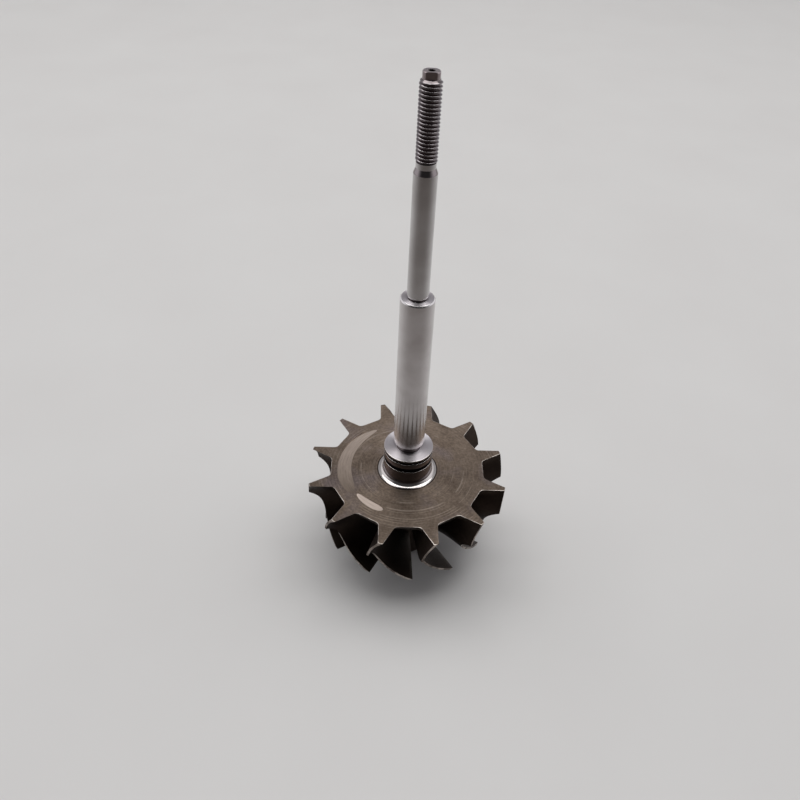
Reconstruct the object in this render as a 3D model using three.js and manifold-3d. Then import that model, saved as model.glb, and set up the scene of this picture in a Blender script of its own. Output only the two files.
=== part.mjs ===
// Turbine wheel and shaft of a turbocharger, standing upright on the nose of its hub.
// Millimetres, +Z up along the shaft, origin at the middle of the nose's flat end.
// Depths are measured down from the machined back face of the disc, heights up from it.

import * as THREE from 'three';
import { mergeVertices } from 'three/addons/utils/BufferGeometryUtils.js';
import Module from 'manifold-3d';

const wasm = await Module();
wasm.setup();

// Wheel
const backFaceHeight = 37.8;
const bladeCount = 12;
const firstBladeAngle = -102.8;
const inducerRadius = 35.7;
const inducerWidth = 8.15;
const exducerRadius = 30.0;
const exducerDepth = 25.5;
const shroudSharpness = 5.8;
const discRadius = 27.5;
const discRimThickness = 1.7;
const hubEndRadius = 9.0;
const hubSharpness = 2.3;
const fitGap = 0.3;

// Blade section: half thicknesses, and the tooth where the blade meets the disc
const shroudHalfThickness = 0.39;
const rootHalfThickness = 1.1;
const toothTipHalfWidth = 0.82;
const toothRootHalfWidth = 3.05;
const toothFlareDepth = 2.6;

// Wrap of the blade round the axis, in degrees, as a cubic of the depth in millimetres
const wrapLean = -1.486;
const wrapCurl = 0.069;
const wrapTail = 0.0007;

// Nose of the hub, with the centre hole that it is ground on
const noseRadius = 9.0;
const noseChamfer = 0.8;
const centreHoleRadius = 1.6;
const centreHoleDepth = 2.6;

// Shaft: radii, and heights above the back face
const collarRadius = 10.45;
const collarRim = 0.3;
const collarTop = 1.65;
const bossRadius = 8.6;
const bossTop = 11.75;
const bossEdge = 0.15;
const ringGrooveRadius = 7.35;
const lowerGroove = [6.4, 8.15];
const upperGroove = [10.1, 11.0];
const journalRadius = 5.35;
const journalTop = 73.0;
const journalChamfer = 0.4;
const journalReliefRadius = 4.6;
const journalReliefLength = 1.1;
// inner radius of the ring that the thrust collar bears on, just wider than the stub
const shoulderInnerRadius = 3.5;
const stubRadius = 3.35;
const stubTop = 112.1;
const stubReliefRadius = 3.0;
const stubReliefLength = 0.8;
const stubChamferLength = 1.5;
const neckRadius = 2.78;
const neckTop = 115.15;
const threadTop = 136.3;
const threadRadius = 2.99;
const threadRootRadius = 2.4;
const threadPitch = 1.0;
const threadCrestShare = [0.45, 0.6];
const threadFrontCrest = 134.8;
const threadStartChamfer = 0.5;
const threadEndChamfer = 0.8;
const tipRadius = 2.3;
const tipTop = 138.2;
const tipEdge = 0.2;
const tipFlatDistance = 1.8;
const tipHoleRadius = 0.63;
const tipHoleDepth = 1.4;
// share of a relief's length that is straight before it slopes out
const reliefStraightShare = 0.6;
const stubFoot = journalTop + stubReliefLength * reliefStraightShare;

// Fineness of the round surfaces and of the blades
const hubSegments = 60;
const shaftSegments = 36;
const threadSegments = 18;
const hubSteps = 11;
const bladeStepsAtInducer = 6;
const bladeStepsToExducer = 10;
const bladeStepsAcross = 4;
const sweepSteps = 6;
// powers that crowd the steps together towards the disc
const hubCrowding = 1.5;
const inducerCrowding = 1.4;
const exducerCrowding = 1.2;

const radians = THREE.MathUtils.degToRad;

const castAlloy = new THREE.MeshStandardMaterial({ color: 0x6f665e, roughness: 0.55, metalness: 0.9 });
const groundSteel = new THREE.MeshStandardMaterial({ color: 0xa9a9ab, roughness: 0.18, metalness: 1.0 });
const turnedSteel = new THREE.MeshStandardMaterial({ color: 0x9b999a, roughness: 0.32, metalness: 1.0 });

// A solid of revolution about +Z from [radius, height] points given from the bottom up
function revolve(profile, segments) {
  const points = profile.map(([radius, height]) => new THREE.Vector2(radius, height));
  return new THREE.LatheGeometry(points, segments).rotateX(Math.PI / 2);
}

function toSolid(geometry) {
  const bare = geometry.clone();
  bare.deleteAttribute('normal');
  bare.deleteAttribute('uv');
  const merged = mergeVertices(bare, 1e-5);
  const vertProperties = new Float32Array(merged.attributes.position.array);
  const triVerts = new Uint32Array(merged.index.array);
  return new wasm.Manifold(new wasm.Mesh({ numProp: 3, vertProperties, triVerts }));
}

function toGeometry(solid) {
  const mesh = solid.getMesh();
  const geometry = new THREE.BufferGeometry();
  geometry.setAttribute('position', new THREE.BufferAttribute(mesh.vertProperties, 3));
  geometry.setIndex(new THREE.BufferAttribute(mesh.triVerts, 1));
  geometry.computeVertexNormals();
  return geometry;
}

function named(name, geometry, material, height = backFaceHeight) {
  const mesh = new THREE.Mesh(geometry, material.clone());
  mesh.name = name;
  mesh.position.z = height;
  return mesh;
}

// Radius of the hub at a depth: a flat disc rim, then a curve that runs down to the nose
function hubRadiusAt(depth) {
  if (depth <= discRimThickness) return discRadius;
  const along = (depth - discRimThickness) / (exducerDepth - discRimThickness);
  return hubEndRadius + (discRadius - hubEndRadius) * (1 - Math.min(along, 1)) ** hubSharpness;
}

// Radius of the blade's outer edge: straight down the leading edge, then along the shroud
function outerRadiusAt(depth) {
  if (depth <= inducerWidth) return inducerRadius;
  const along = (depth - inducerWidth) / (exducerDepth - inducerWidth);
  return exducerRadius + (inducerRadius - exducerRadius) * (1 - along) ** shroudSharpness;
}

function wrapAngleAt(depth) {
  return radians(wrapLean * depth + wrapCurl * depth ** 2 + wrapTail * depth ** 3);
}

function wrapSlopeAt(depth) {
  return radians(wrapLean + 2 * wrapCurl * depth + 3 * wrapTail * depth ** 2);
}

// Half the blade's width across the wheel, measured round the circle at that radius
function halfWidthAt(radius, across, depth) {
  const thin = THREE.MathUtils.lerp(rootHalfThickness, shroudHalfThickness, across);
  const slanted = thin * Math.hypot(1, radius * wrapSlopeAt(depth));
  const toothAcross = (radius - discRadius) / (inducerRadius - discRadius);
  const tooth = THREE.MathUtils.lerp(toothRootHalfWidth, toothTipHalfWidth, Math.max(toothAcross, 0));
  const flare = Math.max(1 - depth / toothFlareDepth, 0) ** 2;
  return THREE.MathUtils.lerp(slanted, Math.max(tooth, slanted), flare);
}

// One blade with its tooth of the disc, as a grid over both sides closed round its edges
function bladeGeometry() {
  const depths = [];
  for (let i = 0; i <= bladeStepsAtInducer; i++) {
    depths.push(inducerWidth * (i / bladeStepsAtInducer) ** inducerCrowding);
  }
  for (let i = 1; i <= bladeStepsToExducer; i++) {
    const along = (i / bladeStepsToExducer) ** exducerCrowding;
    depths.push(inducerWidth + (exducerDepth - inducerWidth) * along);
  }
  const rows = depths.length;
  const columns = bladeStepsAcross + 1;
  const positions = [];
  for (const side of [-1, 1]) {
    for (const depth of depths) {
      const inner = hubRadiusAt(depth) + fitGap;
      for (let j = 0; j < columns; j++) {
        const across = j / bladeStepsAcross;
        const radius = THREE.MathUtils.lerp(inner, outerRadiusAt(depth), across);
        const angle = wrapAngleAt(depth) + (side * halfWidthAt(radius, across, depth)) / radius;
        positions.push(radius * Math.cos(angle), radius * Math.sin(angle), -depth);
      }
    }
  }
  const at = (side, i, j) => side * rows * columns + i * columns + j;
  const triangles = [];
  const quad = (a, b, c, d) => triangles.push(a, b, c, a, c, d);
  for (let i = 0; i < rows - 1; i++) {
    for (let j = 0; j < columns - 1; j++) {
      quad(at(0, i, j), at(0, i + 1, j), at(0, i + 1, j + 1), at(0, i, j + 1));
      quad(at(1, i, j), at(1, i, j + 1), at(1, i + 1, j + 1), at(1, i + 1, j));
    }
    quad(at(0, i, 0), at(1, i, 0), at(1, i + 1, 0), at(0, i + 1, 0));
    const last = columns - 1;
    quad(at(0, i, last), at(0, i + 1, last), at(1, i + 1, last), at(1, i, last));
  }
  for (let j = 0; j < columns - 1; j++) {
    quad(at(0, 0, j), at(0, 0, j + 1), at(1, 0, j + 1), at(1, 0, j));
    const end = rows - 1;
    quad(at(0, end, j), at(1, end, j), at(1, end, j + 1), at(0, end, j + 1));
  }
  const geometry = new THREE.BufferGeometry();
  geometry.setAttribute('position', new THREE.Float32BufferAttribute(positions, 3));
  geometry.setIndex(triangles);
  geometry.computeVertexNormals();
  return geometry;
}

// Disc and hub of the casting, down to the plane where the nose starts
function hubGeometry() {
  const profile = [[0, -exducerDepth]];
  for (let i = hubSteps; i >= 0; i--) {
    const along = (i / hubSteps) ** hubCrowding;
    const depth = discRimThickness + (exducerDepth - discRimThickness) * along;
    profile.push([hubRadiusAt(depth), -depth]);
  }
  profile.push([discRadius, 0], [0, 0]);
  return revolve(profile, hubSegments);
}

// Round nose with a flat end and a centre hole
function noseGeometry() {
  const profile = [
    [0, centreHoleDepth],
    [centreHoleRadius, 0],
    [noseRadius - noseChamfer, 0],
    [noseRadius, noseChamfer],
    [hubEndRadius, backFaceHeight - exducerDepth],
    [0, backFaceHeight - exducerDepth],
  ];
  return revolve(profile, shaftSegments);
}

// Turned collar over the weld, swept up into the seal boss
function collarGeometry() {
  const profile = [[0, 0], [collarRadius, 0]];
  for (let i = 0; i <= sweepSteps; i++) {
    const turn = (i / sweepSteps) * (Math.PI / 2);
    const radius = collarRadius - (collarRadius - bossRadius) * Math.sin(turn);
    profile.push([radius, collarRim + (collarTop - collarRim) * (1 - Math.cos(turn))]);
  }
  profile.push([0, collarTop]);
  return revolve(profile, shaftSegments);
}

// Seal boss with its two grooves for sealing rings
function sealBossGeometry() {
  const profile = [
    [0, collarTop],
    [bossRadius, collarTop],
    [bossRadius, lowerGroove[0]],
    [ringGrooveRadius, lowerGroove[0]],
    [ringGrooveRadius, lowerGroove[1]],
    [bossRadius, lowerGroove[1]],
    [bossRadius, upperGroove[0]],
    [ringGrooveRadius, upperGroove[0]],
    [ringGrooveRadius, upperGroove[1]],
    [bossRadius, upperGroove[1]],
    [bossRadius, bossTop - bossEdge],
    [bossRadius - bossEdge, bossTop],
    [0, bossTop],
  ];
  return revolve(profile, shaftSegments);
}

// Ground bearing journal, with a grinding relief at its foot, up to the relief of the stub on it
function journalGeometry() {
  const profile = [
    [0, bossTop],
    [journalReliefRadius, bossTop],
    [journalReliefRadius, bossTop + journalReliefLength * reliefStraightShare],
    [journalRadius, bossTop + journalReliefLength],
    [journalRadius, journalTop - journalChamfer],
    [journalRadius - journalChamfer, journalTop],
    [shoulderInnerRadius, journalTop],
    [stubReliefRadius, journalTop],
    [stubReliefRadius, stubFoot],
    [0, stubFoot],
  ];
  return revolve(profile, shaftSegments);
}

// Thinner stub that carries the compressor wheel, chamfered down to the neck
function stubGeometry() {
  const profile = [
    [0, stubFoot],
    [stubReliefRadius, stubFoot],
    [stubRadius, journalTop + stubReliefLength],
    [stubRadius, stubTop],
    [neckRadius, stubTop + stubChamferLength],
    [0, stubTop + stubChamferLength],
  ];
  return revolve(profile, shaftSegments);
}

// Left-handed screw thread: a helical ridge on a core, cut to length with chamfered ends
function threadGeometry() {
  const [crestStart, crestEnd] = threadCrestShare;
  const section = [
    [0, threadRootRadius],
    [crestStart, threadRadius],
    [crestEnd, threadRadius],
  ];
  // the ridge is made longer than the thread, by these turns at each end
  const spareTurns = 3;
  const turns = Math.ceil((threadTop - neckTop) / threadPitch) + 2 * spareTurns;
  const rows = turns * section.length;
  const lastCrest = turns - spareTurns + (crestStart + crestEnd) / 2;
  const start = threadFrontCrest - lastCrest * threadPitch;
  const positions = [];
  for (let i = 0; i <= rows; i++) {
    const [share, radius] = section[i % section.length];
    const along = Math.floor(i / section.length) + share;
    for (let k = 0; k < threadSegments; k++) {
      const round = k / threadSegments;
      const angle = -Math.PI / 2 - round * 2 * Math.PI;
      const height = start + (along + round) * threadPitch;
      positions.push(radius * Math.cos(angle), radius * Math.sin(angle), height);
    }
  }
  const triangles = [];
  const face = (a, b, c) => triangles.push(a, b, c);
  const at = (i, k) => i * threadSegments + k;
  // past the last segment of a turn the ridge carries on one pitch higher
  const next = (i, k) => (k + 1 < threadSegments ? at(i, k + 1) : at(i + section.length, 0));
  const lastRow = rows - section.length;
  for (let i = 0; i < lastRow; i++) {
    for (let k = 0; k < threadSegments; k++) {
      face(at(i, k), next(i + 1, k), next(i, k));
      face(at(i, k), at(i + 1, k), next(i + 1, k));
    }
  }
  const foot = positions.length / 3;
  const head = foot + 1;
  positions.push(0, 0, start - threadPitch, 0, 0, start + (turns + 1) * threadPitch);
  for (let k = 0; k < threadSegments; k++) {
    face(foot, at(0, k), next(0, k));
    face(head, next(lastRow, k), at(lastRow, k));
  }
  for (let i = 0; i < section.length; i++) {
    face(foot, at(i + 1, 0), at(i, 0));
    face(head, at(lastRow + i, 0), at(lastRow + i + 1, 0));
  }
  const ridge = new THREE.BufferGeometry();
  ridge.setAttribute('position', new THREE.Float32BufferAttribute(positions, 3));
  ridge.setIndex(triangles);
  const outside = threadRadius + fitGap;
  const envelope = [
    [0, neckTop],
    [threadRootRadius, neckTop],
    [outside, neckTop + threadStartChamfer],
    [outside, threadTop - threadEndChamfer],
    [tipRadius, threadTop],
    [0, threadTop],
  ];
  const neckFoot = stubTop + stubChamferLength;
  const neckHead = neckTop + threadStartChamfer / 2;
  const neck = [
    [0, neckFoot],
    [neckRadius, neckFoot],
    [neckRadius, neckHead],
    [0, neckHead],
  ];
  const thread = toSolid(ridge).intersect(toSolid(revolve(envelope, shaftSegments)));
  return toGeometry(thread.add(toSolid(revolve(neck, shaftSegments))));
}

// Driving tip above the thread: two flats and a centre hole
function tipGeometry() {
  const round = revolve(
    [
      [0, threadTop],
      [tipRadius, threadTop],
      [tipRadius, tipTop - tipEdge],
      [tipRadius - tipEdge, tipTop],
      [tipHoleRadius, tipTop],
      [0, tipTop - tipHoleDepth],
    ],
    shaftSegments,
  );
  let tip = toSolid(round);
  for (const side of [-1, 1]) {
    const cutter = new THREE.BoxGeometry(4 * tipRadius, tipRadius, 2 * (tipTop - threadTop));
    cutter.translate(0, side * (tipFlatDistance + tipRadius / 2), (tipTop + threadTop) / 2);
    tip = tip.subtract(toSolid(cutter));
  }
  return toGeometry(tip);
}

const turbineWheel = new THREE.Group();
turbineWheel.name = 'turbine_wheel';
turbineWheel.add(
  named('nose', noseGeometry(), castAlloy, 0),
  named('hub_disc', hubGeometry(), castAlloy),
);

const blade = bladeGeometry();
for (let i = 0; i < bladeCount; i++) {
  const mesh = named(`blade_${String(i + 1).padStart(2, '0')}`, blade.clone(), castAlloy);
  mesh.rotation.z = radians(firstBladeAngle + (i * 360) / bladeCount);
  turbineWheel.add(mesh);
}

turbineWheel.add(
  named('weld_collar', collarGeometry(), turnedSteel),
  named('seal_boss', sealBossGeometry(), turnedSteel),
  named('bearing_journal', journalGeometry(), groundSteel),
  named('compressor_stub', stubGeometry(), groundSteel),
  named('threaded_end', threadGeometry(), turnedSteel),
  named('driving_tip', tipGeometry(), turnedSteel),
);

export default turbineWheel;
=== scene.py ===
# Turbine wheel and shaft of a turbocharger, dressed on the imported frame.
# Metres, +Z up along the shaft. The wheel stands on the nose of its hub at the origin.
import math

import bmesh
import bpy
from mathutils import Matrix, Vector


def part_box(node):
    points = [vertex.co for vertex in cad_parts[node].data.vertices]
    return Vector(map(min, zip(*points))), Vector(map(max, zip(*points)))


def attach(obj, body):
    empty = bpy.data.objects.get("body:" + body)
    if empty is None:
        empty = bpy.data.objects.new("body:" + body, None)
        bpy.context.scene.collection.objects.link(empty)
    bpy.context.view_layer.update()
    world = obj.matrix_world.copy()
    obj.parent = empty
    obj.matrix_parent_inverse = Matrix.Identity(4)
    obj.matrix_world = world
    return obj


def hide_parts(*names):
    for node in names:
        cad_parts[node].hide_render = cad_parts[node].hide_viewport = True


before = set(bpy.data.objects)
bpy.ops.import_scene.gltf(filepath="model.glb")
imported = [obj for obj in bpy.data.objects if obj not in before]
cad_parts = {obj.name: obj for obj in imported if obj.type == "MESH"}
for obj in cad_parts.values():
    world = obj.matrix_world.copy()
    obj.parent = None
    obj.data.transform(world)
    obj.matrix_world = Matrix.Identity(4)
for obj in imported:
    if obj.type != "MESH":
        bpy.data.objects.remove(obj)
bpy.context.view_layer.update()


# Camera: held in the hand about 25 cm away, looking down on the wheel at 41 degrees and leaning a little.
# Its place and its lens follow from the circle of the blade tips and the line of the shaft.
MM = 0.001
camera_aim = Vector((-3.81, 0.0, 70.0)) * MM
camera_distance = 253.65 * MM
camera_elevation = math.radians(40.70)
camera_lean = math.radians(2.82)
camera_lens = 34.21
camera_sensor = 36.0

camera_data = bpy.data.cameras.new("camera")
camera_data.lens = camera_lens
camera_data.sensor_width = camera_sensor
camera_data.clip_start = 10 * MM
camera_data.clip_end = 10
camera = bpy.data.objects.new("camera", camera_data)
bpy.context.scene.collection.objects.link(camera)
bpy.context.scene.camera = camera

to_camera = Vector((0, -math.cos(camera_elevation), math.sin(camera_elevation)))
level_right = Vector((1, 0, 0))
level_up = to_camera.cross(level_right)
camera_right = math.cos(camera_lean) * level_right + math.sin(camera_lean) * level_up
camera_up = to_camera.cross(camera_right)
camera_place = camera_aim + to_camera * camera_distance
camera_axes = Matrix((camera_right, camera_up, to_camera)).transposed()
camera.matrix_world = Matrix.Translation(camera_place) @ camera_axes.to_4x4()


# Floor and light: a sheet of pale matt board in a bright white room, under a broad soft ceiling light.
# The room is dimmer where the camera is held, and low behind, so that bright steel shows dark bands.
# A card on the board stands for the shade on the camera's side, and darkens the middle of the shaft.
def linear(hex_colour):
    """An sRGB colour such as "c8c6c4" as linear RGBA."""
    channels = [int(hex_colour[i:i + 2], 16) / 255 for i in (0, 2, 4)]
    return (*[c / 12.92 if c <= 0.04045 else ((c + 0.055) / 1.055) ** 2.4 for c in channels], 1.0)


def add(tree, kind, inputs=None, **settings):
    """Adds a node with its settings, and sets or links its inputs, given by name or number. A Map Range
    node reads from 1 to 2 and gives 3 to 4, and a colour Mix node goes from 6 to 7 as its 0 grows."""
    made = tree.nodes.new(kind)
    for key, value in settings.items():
        setattr(made, key, value)
    for key, value in (inputs or {}).items():
        if isinstance(value, bpy.types.NodeSocket):
            tree.links.new(value, made.inputs[key])
        else:
            made.inputs[key].default_value = value
    return made


def new_material(name):
    material = bpy.data.materials.new(name)
    material.use_nodes = True
    material.node_tree.nodes.clear()
    return material, material.node_tree


def place_mesh(name, mesh):
    """An object with this mesh, linked to the scene."""
    made = bpy.data.objects.new(name, mesh)
    bpy.context.scene.collection.objects.link(made)
    return made


scene = bpy.context.scene
scene.view_settings.view_transform = "Standard"

world = bpy.data.worlds.new("white_room")
scene.world = world
world.use_nodes = True
room = world.node_tree
room.nodes.clear()
front_side = Vector((0, -1, 0.75)).normalized()
far_side = Vector((0, 1, 0.85)).normalized()
direction = add(room, "ShaderNodeTexCoord").outputs["Generated"]
room_share = 1.15
# each of these sides grows dimmer between two cosines of the angle from it, down to its least share
for side, edge, middle, least in ((front_side, 0.05, 0.8, 0.05), (far_side, 0.6, 0.9, 0.4)):
    towards = add(room, "ShaderNodeVectorMath", {0: direction, 1: tuple(side)}, operation="DOT_PRODUCT")
    side_share = add(
        room, "ShaderNodeMapRange",
        {0: towards.outputs["Value"], 1: edge, 2: middle, 3: 1.0, 4: least},
        interpolation_type="SMOOTHSTEP",
    )
    room_share = add(
        room, "ShaderNodeMath",
        {0: side_share.outputs[0], 1: room_share},
        operation="MULTIPLY",
    ).outputs[0]
seen_share = add(
    room, "ShaderNodeMath",
    {0: room_share, 1: add(room, "ShaderNodeLightPath").outputs["Is Camera Ray"]},
    operation="MAXIMUM",
)
wall = add(room, "ShaderNodeBackground", {"Color": linear("e9e8ec"), "Strength": seen_share.outputs[0]})
add(room, "ShaderNodeOutputWorld", {"Surface": wall.outputs[0]})

ceiling_data = bpy.data.lights.new("ceiling_light", "AREA")
ceiling_data.shape = "RECTANGLE"
ceiling_data.size = 2.6
ceiling_data.size_y = 1.3
ceiling_data.energy = 29.0
ceiling = bpy.data.objects.new("ceiling_light", ceiling_data)
scene.collection.objects.link(ceiling)
ceiling.location = (-0.1, 0.43, 1.8)

# Matt white board, faintly cloudy.
board_reach = 1.5
floor_mesh = bpy.data.meshes.new("floor")
floor_corners = [(board_reach * x, board_reach * y, 0) for x, y in ((-1, -1), (1, -1), (1, 1), (-1, 1))]
floor_mesh.from_pydata(floor_corners, [], [(0, 1, 2, 3)])
floor = place_mesh("floor", floor_mesh)
board, tree = new_material("matt_white_board")
place = add(tree, "ShaderNodeTexCoord").outputs["Object"]
mottle = add(tree, "ShaderNodeTexNoise", {"Vector": place, "Scale": 1 / (70 * MM), "Detail": 4.0})
shade = add(
    tree, "ShaderNodeMix",
    {0: mottle.outputs[0], 6: linear("cfcdcb"), 7: linear("d5d4d2")},
    data_type="RGBA",
)
skin = add(tree, "ShaderNodeBsdfPrincipled", {"Base Color": shade.outputs[2], "Roughness": 0.6})
add(tree, "ShaderNodeOutputMaterial", {"Surface": skin.outputs[0]})
floor_mesh.materials.append(board)

# Shaded card: a flat ring just above the board, seen only in reflections, painted with shade. It is dark on
# the camera's side, close to the wheel as a painted shadow of the wheel, and again further out, and brownish
# there, so that the middle of the shaft looks warm.
card_segments = 96
card_reach = (45 * MM, 1400 * MM)
card_vertices = []
card_faces = []
for i in range(card_segments):
    angle = 2 * math.pi * i / card_segments
    for reach in card_reach:
        card_vertices.append((reach * math.cos(angle), reach * math.sin(angle), MM))
    start = 2 * i
    end = 2 * ((i + 1) % card_segments)
    card_faces.append((start, start + 1, end + 1, end))
card_mesh = bpy.data.meshes.new("shade_card")
card_mesh.from_pydata(card_vertices, [], card_faces)
card = place_mesh("shade_card", card_mesh)
card.visible_camera = False
card.visible_diffuse = False
card.visible_shadow = False
shaded, tree = new_material("shaded_grey_card")
place = add(tree, "ShaderNodeTexCoord").outputs["Object"]
outward = add(tree, "ShaderNodeVectorMath", {0: place}, operation="LENGTH").outputs["Value"]
straight = add(tree, "ShaderNodeVectorMath", {0: place}, operation="NORMALIZE")
frontward = add(tree, "ShaderNodeSeparateXYZ", {0: straight.outputs[0]}).outputs["Y"]
side_share = add(
    tree, "ShaderNodeMapRange",
    {0: frontward, 1: 1.0, 2: -1.0, 3: 0.0, 4: 1.0},
    interpolation_type="SMOOTHSTEP",
)
octaves = add(tree, "ShaderNodeMath", {0: outward, 1: 2.0}, operation="LOGARITHM").outputs[0]
far_share = add(
    tree, "ShaderNodeMapRange",
    {0: octaves, 1: math.log2(70 * MM), 2: math.log2(560 * MM), 3: 0.3, 4: 0.9},
)
# painted shadow of the wheel, close round it
wheel_shadow_share = add(tree, "ShaderNodeMapRange", {0: outward, 1: 55 * MM, 2: 74 * MM, 3: 0.75, 4: 0.0})
stronger_share = add(
    tree, "ShaderNodeMath",
    {0: far_share.outputs[0], 1: wheel_shadow_share.outputs[0]},
    operation="MAXIMUM",
)
# painted shade: how much of the dark brownish colour the card takes
shade_share = add(
    tree, "ShaderNodeMath",
    {0: side_share.outputs[0], 1: stronger_share.outputs[0]},
    operation="MULTIPLY",
)
shade = add(
    tree, "ShaderNodeMix",
    {0: shade_share.outputs[0], 6: linear("cfcdcb"), 7: linear("3a2618")},
    data_type="RGBA",
)
skin = add(tree, "ShaderNodeBsdfDiffuse", {"Color": shade.outputs[2]})
add(tree, "ShaderNodeOutputMaterial", {"Surface": skin.outputs[0]})
card_mesh.materials.append(shaded)


# Wheel: one investment casting in a heat-resistant nickel alloy, hub, disc and twelve curved blades together.
# Its back face, the rims of the blades and the end of the nose are turned, and the rest is left as cast.
# Two shallow cuts in the back face, ground with the wheel turning, balance it.
blade_count = 12
first_blade_angle = math.radians(-102.8)
half_pitch = math.pi / blade_count
back_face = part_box("hub_disc")[1].z / MM
disc_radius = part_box("hub_disc")[1].x / MM
nose_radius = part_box("nose")[1].x / MM
exducer_depth = back_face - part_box("hub_disc")[0].z / MM
inducer_radius = 35.7
inducer_width = 8.15
exducer_radius = 30.0
shroud_sharpness = 5.8
hub_sharpness = 2.3
rim_thickness = 1.7
rim_undercut = 0.45
edge_break = 0.14
edge_break_depth = 0.06

shroud_half_thickness = 0.39
root_half_thickness = 1.1
tooth_tip_half_width = 0.82
tooth_root_half_width = 3.05
tooth_flare_depth = 2.6
tooth_corner_radius = 27.74
tooth_corner_angle = math.radians(6.4)
fillet_at_rim = 1.1
fillet_growth = 1.8
fillet_growth_depth = exducer_depth / 1.4
fillet_floor_share = 0.9

# the blades lean and curl round the axis by these degrees per millimetre of depth, its square and its cube
wrap_lean = -1.486
wrap_curl = 0.069
wrap_tail = 0.0007

side_steps = 14
fillet_steps = 6
floor_steps = 6


def mix(a, b, share):
    return a + (b - a) * share


def polar(radius, angle):
    return Vector((radius * math.cos(angle), radius * math.sin(angle)))


def hub_radius(depth):
    """Radius of the hub between the blades: a thin undercut rim, then a curve down to the nose."""
    if depth <= rim_thickness:
        return disc_radius - rim_undercut * depth / rim_thickness
    along = (depth - rim_thickness) / (exducer_depth - rim_thickness)
    return nose_radius + (disc_radius - rim_undercut - nose_radius) * (1 - along) ** hub_sharpness


def outer_radius(depth):
    """Radius of the blades' outer edge: straight at the inlet, then along the shroud's curve."""
    if depth <= inducer_width:
        return inducer_radius
    along = (depth - inducer_width) / (exducer_depth - inducer_width)
    return exducer_radius + (inducer_radius - exducer_radius) * (1 - along) ** shroud_sharpness


def half_width(radius, depth):
    """Half the blade's width round the circle, widened near the back face into a tooth."""
    hub = hub_radius(depth)
    across = (radius - hub) / (outer_radius(depth) - hub)
    slope = math.radians(wrap_lean + 2 * wrap_curl * depth + 3 * wrap_tail * depth ** 2)
    thin = mix(root_half_thickness, shroud_half_thickness, across) * math.hypot(1, radius * slope)
    tooth_across = max((radius - disc_radius) / (inducer_radius - disc_radius), 0)
    tooth = mix(tooth_root_half_width, tooth_tip_half_width, tooth_across)
    flare = max(1 - depth / tooth_flare_depth, 0) ** 2
    return mix(thin, max(tooth, thin), flare)


def floor_radius(angle, depth):
    """Radius of the floor between two teeth: straight across at the disc's rim, round below it."""
    straight = tooth_corner_radius * math.cos(half_pitch - tooth_corner_angle) / math.cos(half_pitch - angle)
    share = min(max((2 * rim_thickness - depth) / rim_thickness, 0), 1)
    return hub_radius(depth) + (straight - disc_radius) * share


def fillet_reach(depth):
    """Size of the fillet at a blade's root: tight at the disc's rim, fuller in the channel."""
    along = min(depth / fillet_growth_depth, 1)
    return fillet_at_rim + fillet_growth * math.sin(math.pi * along)


def half_outline(depth, inset):
    """(radius, angle) points from the middle of a blade's rim to the middle of the floor beside it."""
    outer = outer_radius(depth) - inset

    def side(radius):
        return (half_width(radius, depth) - inset) / radius

    hub = hub_radius(depth) - inset
    corner = side(hub)
    reach = min(fillet_reach(depth), fillet_floor_share * (half_pitch - corner) * hub)
    points = [(outer, 0.0)]
    for i in range(side_steps + 1):
        radius = mix(outer, hub + reach, i / side_steps)
        points.append((radius, side(radius)))
    foot = corner + reach / hub
    ends = (
        polar(hub + reach, side(hub + reach)),
        polar(floor_radius(corner, depth) - inset, corner),
        polar(floor_radius(foot, depth) - inset, foot),
    )
    for i in range(1, fillet_steps + 1):
        t = i / fillet_steps
        spot = ends[0] * (1 - t) ** 2 + ends[1] * 2 * t * (1 - t) + ends[2] * t ** 2
        points.append((spot.length, math.atan2(spot.y, spot.x)))
    for i in range(1, floor_steps + 1):
        angle = mix(foot, half_pitch, i / floor_steps)
        points.append((floor_radius(angle, depth) - inset, angle))
    return points


def mirrored(points):
    """The half outline and its mirror image, up to the middle of the next blade's rim."""
    return points + [(radius, 2 * half_pitch - angle) for radius, angle in reversed(points[:-1])]


# depths of the rows of vertices, closer together where the shape changes fast
tooth_steps = 18
tooth_spread = 1.5
shroud_steps = 26
shroud_spread = 1.25
depths = [0.0, edge_break_depth]
for i in range(1, tooth_steps + 1):
    depths.append(mix(edge_break_depth, inducer_width, (i / tooth_steps) ** tooth_spread))
for i in range(1, shroud_steps + 1):
    depths.append(mix(inducer_width, exducer_depth - edge_break_depth, (i / shroud_steps) ** shroud_spread))
depths.append(exducer_depth)
insets = [edge_break] + [0.0] * (len(depths) - 2) + [edge_break_depth]

# vertices that lie within this of each other are one
same_place = 0.0005 * MM
sector = bmesh.new()
finish_mark = sector.faces.layers.int.new("finish")
as_cast, as_turned, as_worn = 0, 1, 2


def corner_vertex(radius, angle, depth):
    return sector.verts.new((*(polar(radius, angle) * MM), (back_face - depth) * MM))


def skin_between(upper, lower, finish, rim_finish=None):
    """Joins two rows of vertices with quads; the first and last columns may have a finish of their own."""
    last = len(upper) - 2
    for j in range(last + 1):
        face = sector.faces.new((upper[j], lower[j], lower[j + 1], upper[j + 1]))
        face[finish_mark] = rim_finish if rim_finish is not None and j in (0, last) else finish


outlines = [mirrored(half_outline(depth, inset)) for depth, inset in zip(depths, insets)]
rows = [
    [corner_vertex(radius, angle, depth) for radius, angle in outline]
    for outline, depth in zip(outlines, depths)
]
skin_between(rows[0], rows[1], as_worn)
for upper, lower in zip(rows[1:-1], rows[2:]):
    skin_between(upper, lower, as_cast, as_worn)

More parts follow.
